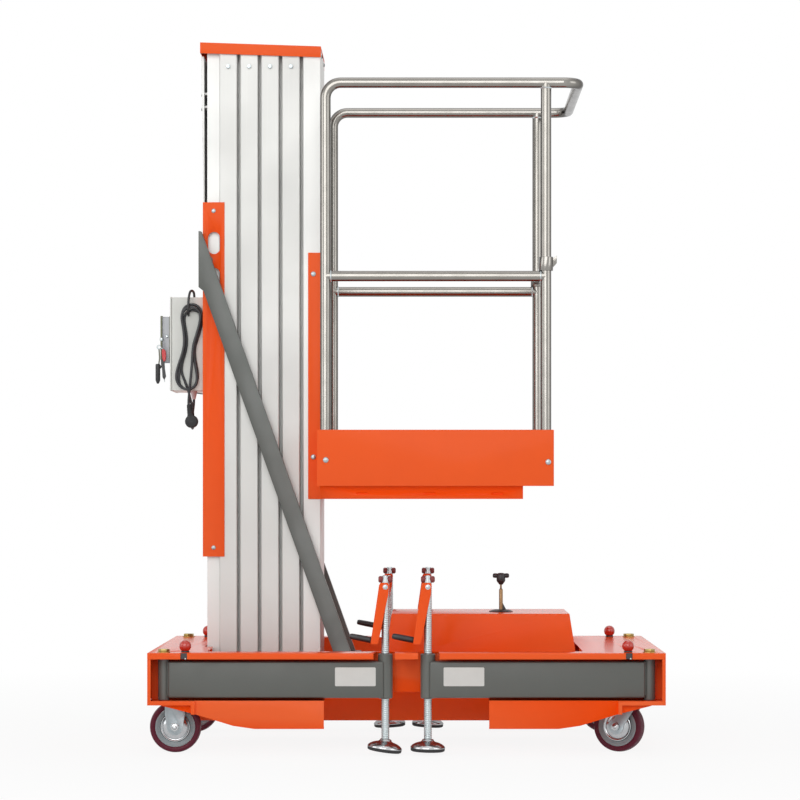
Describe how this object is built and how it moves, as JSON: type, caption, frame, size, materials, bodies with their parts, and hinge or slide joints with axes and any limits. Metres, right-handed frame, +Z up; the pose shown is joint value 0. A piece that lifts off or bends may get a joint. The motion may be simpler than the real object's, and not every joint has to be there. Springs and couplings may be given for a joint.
{
  "type": "vertical mast lift",
  "caption": "Push-around work platform lift: nested aluminium mast, railed basket, swing-out outrigger arms with screw jacks, orange base on casters.",
  "frame": {"origin": "centre of the bounding box at floor level, without the supply cord", "axes": "+X along the base from the mast end to the platform end, +Y across the base away from the side with the cord, +Z up"},
  "size_m": [1.3375, 0.851, 1.8828],
  "materials": {
    "orange_paint": "glossy orange powder coat",
    "grey_paint": "satin dark grey paint",
    "light_grey_paint": "satin light grey paint",
    "anodised": "matt anodised extrusion",
    "stainless": "polished stainless tube",
    "zinc": "bright zinc plate",
    "yellow_zinc": "yellow passivated zinc",
    "cast_housing": "plain cast housing",
    "black_plastic": "matt black moulding",
    "red_knob": "glossy red ball",
    "hood_grey": "smoky grey moulding",
    "cord_rubber": "matt black sheath",
    "wine_tyre": "wine red polyurethane",
    "hub_grey": "grey moulded hub"
  },
  "bodies": {
    "chassis": {"base_deck": "orange_paint", "end_frames": "orange_paint", "trough": "orange_paint", "side_webs": "orange_paint", "skirts": "orange_paint", "pivot_bolts": "yellow_zinc", "lock_pins": "red_knob", "power_unit": "cast_housing", "deck_covers": "orange_paint", "cover_knob": "black_plastic", "mast_section_1": "anodised", "back_channel": "orange_paint", "back_guard": "anodised", "struts": "grey_paint", "control_box": "light_grey_paint", "switch_cover": "hood_grey", "cord_hank": "cord_rubber", "cord_lead": "cord_rubber", "cord_tail": "cord_rubber", "cord_plug": "cord_rubber", "rigid_forks": "zinc", "swivel_mounts": "zinc"},
    "mast_2": {"mast_section_2": "anodised"},
    "mast_3": {"mast_section_3": "anodised"},
    "mast_4": {"mast_section_4": "anodised"},
    "platform": {"mast_section_5": "anodised", "mast_cap": "orange_paint", "platform_bracket": "orange_paint", "platform_floor": "orange_paint", "toe_boards": "orange_paint", "rail_near": "stainless", "rail_far": "stainless", "rail_end": "stainless"},
    "gate": {"gate_bar": "stainless"},
    "arm_body_near_left": {"arm_near_left": "grey_paint"},
    "jack_near_left": {"jack_screw_near_left": "zinc", "jack_crank_near_left": "orange_paint"},
    "arm_body_near_right": {"arm_near_right": "grey_paint"},
    "jack_near_right": {"jack_screw_near_right": "zinc", "jack_crank_near_right": "orange_paint"},
    "arm_body_far_left": {"arm_far_left": "grey_paint"},
    "jack_far_left": {"jack_screw_far_left": "zinc", "jack_crank_far_left": "orange_paint"},
    "arm_body_far_right": {"arm_far_right": "grey_paint"},
    "jack_far_right": {"jack_screw_far_right": "zinc", "jack_crank_far_right": "orange_paint"},
    "wheel_near_left": {"tyre_near_left": "wine_tyre", "hub_near_left": "hub_grey"},
    "fork_near": {"swivel_fork_near": "zinc"},
    "wheel_near_right": {"tyre_near_right": "wine_tyre", "hub_near_right": "hub_grey"},
    "wheel_far_left": {"tyre_far_left": "wine_tyre", "hub_far_left": "hub_grey"},
    "fork_far": {"swivel_fork_far": "zinc"},
    "wheel_far_right": {"tyre_far_right": "wine_tyre", "hub_far_right": "hub_grey"}
  },
  "joints": [
    {"name": "mast_lift", "type": "slide", "parent": "chassis", "child": "mast_2", "axis": [0, 0, 1], "range_m": [0, 1.33]},
    {"name": "stage_3", "type": "slide", "parent": "mast_2", "child": "mast_3", "axis": [0, 0, 1], "range_m": [0, 1.33]},
    {"name": "stage_4", "type": "slide", "parent": "mast_3", "child": "mast_4", "axis": [0, 0, 1], "range_m": [0, 1.33]},
    {"name": "stage_5", "type": "slide", "parent": "mast_4", "child": "platform", "axis": [0, 0, 1], "range_m": [0, 1.33]},
    {"name": "gate_slide", "type": "slide", "parent": "platform", "child": "gate", "axis": [0, 0, 1], "range_m": [0, 0.43]},
    {"name": "arm_swing_near_left", "type": "hinge", "parent": "chassis", "child": "arm_body_near_left", "pos_m": [-0.628, -0.38, 0.2], "axis": [0, 0, -1], "range_deg": [0, 90]},
    {"name": "jack_screw_travel_near_left", "type": "slide", "parent": "arm_body_near_left", "child": "jack_near_left", "axis": [0, 0, -1], "range_m": [-0.09, 0.013]},
    {"name": "arm_swing_near_right", "type": "hinge", "parent": "chassis", "child": "arm_body_near_right", "pos_m": [0.628, -0.38, 0.2], "axis": [0, 0, 1], "range_deg": [0, 90]},
    {"name": "jack_screw_travel_near_right", "type": "slide", "parent": "arm_body_near_right", "child": "jack_near_right", "axis": [0, 0, -1], "range_m": [-0.09, 0.013]},
    {"name": "arm_swing_far_left", "type": "hinge", "parent": "chassis", "child": "arm_body_far_left", "pos_m": [-0.628, 0.38, 0.2], "axis": [0, 0, 1], "range_deg": [0, 90]},
    {"name": "jack_screw_travel_far_left", "type": "slide", "parent": "arm_body_far_left", "child": "jack_far_left", "axis": [0, 0, -1], "range_m": [-0.09, 0.013]},
    {"name": "arm_swing_far_right", "type": "hinge", "parent": "chassis", "child": "arm_body_far_right", "pos_m": [0.628, 0.38, 0.2], "axis": [0, 0, -1], "range_deg": [0, 90]},
    {"name": "jack_screw_travel_far_right", "type": "slide", "parent": "arm_body_far_right", "child": "jack_far_right", "axis": [0, 0, -1], "range_m": [-0.09, 0.013]},
    {"name": "roll_near_left", "type": "hinge", "parent": "chassis", "child": "wheel_near_left", "pos_m": [-0.604, -0.308, 0.0665], "axis": [0, 1, 0], "continuous": true},
    {"name": "swivel_near", "type": "hinge", "parent": "chassis", "child": "fork_near", "pos_m": [0.597, -0.308, 0.14], "axis": [0, 0, 1], "continuous": true},
    {"name": "roll_near_right", "type": "hinge", "parent": "fork_near", "child": "wheel_near_right", "pos_m": [0.55622, -0.28898, 0.0665], "axis": [-0.4226, -0.9063, 0], "continuous": true},
    {"name": "roll_far_left", "type": "hinge", "parent": "chassis", "child": "wheel_far_left", "pos_m": [-0.604, 0.308, 0.0665], "axis": [0, 1, 0], "continuous": true},
    {"name": "swivel_far", "type": "hinge", "parent": "chassis", "child": "fork_far", "pos_m": [0.597, 0.308, 0.14], "axis": [0, 0, 1], "continuous": true},
    {"name": "roll_far_right", "type": "hinge", "parent": "fork_far", "child": "wheel_far_right", "pos_m": [0.55225, 0.3033, 0.0665], "axis": [0.1045, -0.9945, 0], "continuous": true}
  ],
  "couplings": [
    {"joint": "stage_3", "follows": "mast_lift", "ratio": 1},
    {"joint": "stage_4", "follows": "mast_lift", "ratio": 1},
    {"joint": "stage_5", "follows": "mast_lift", "ratio": 1}
  ]
}
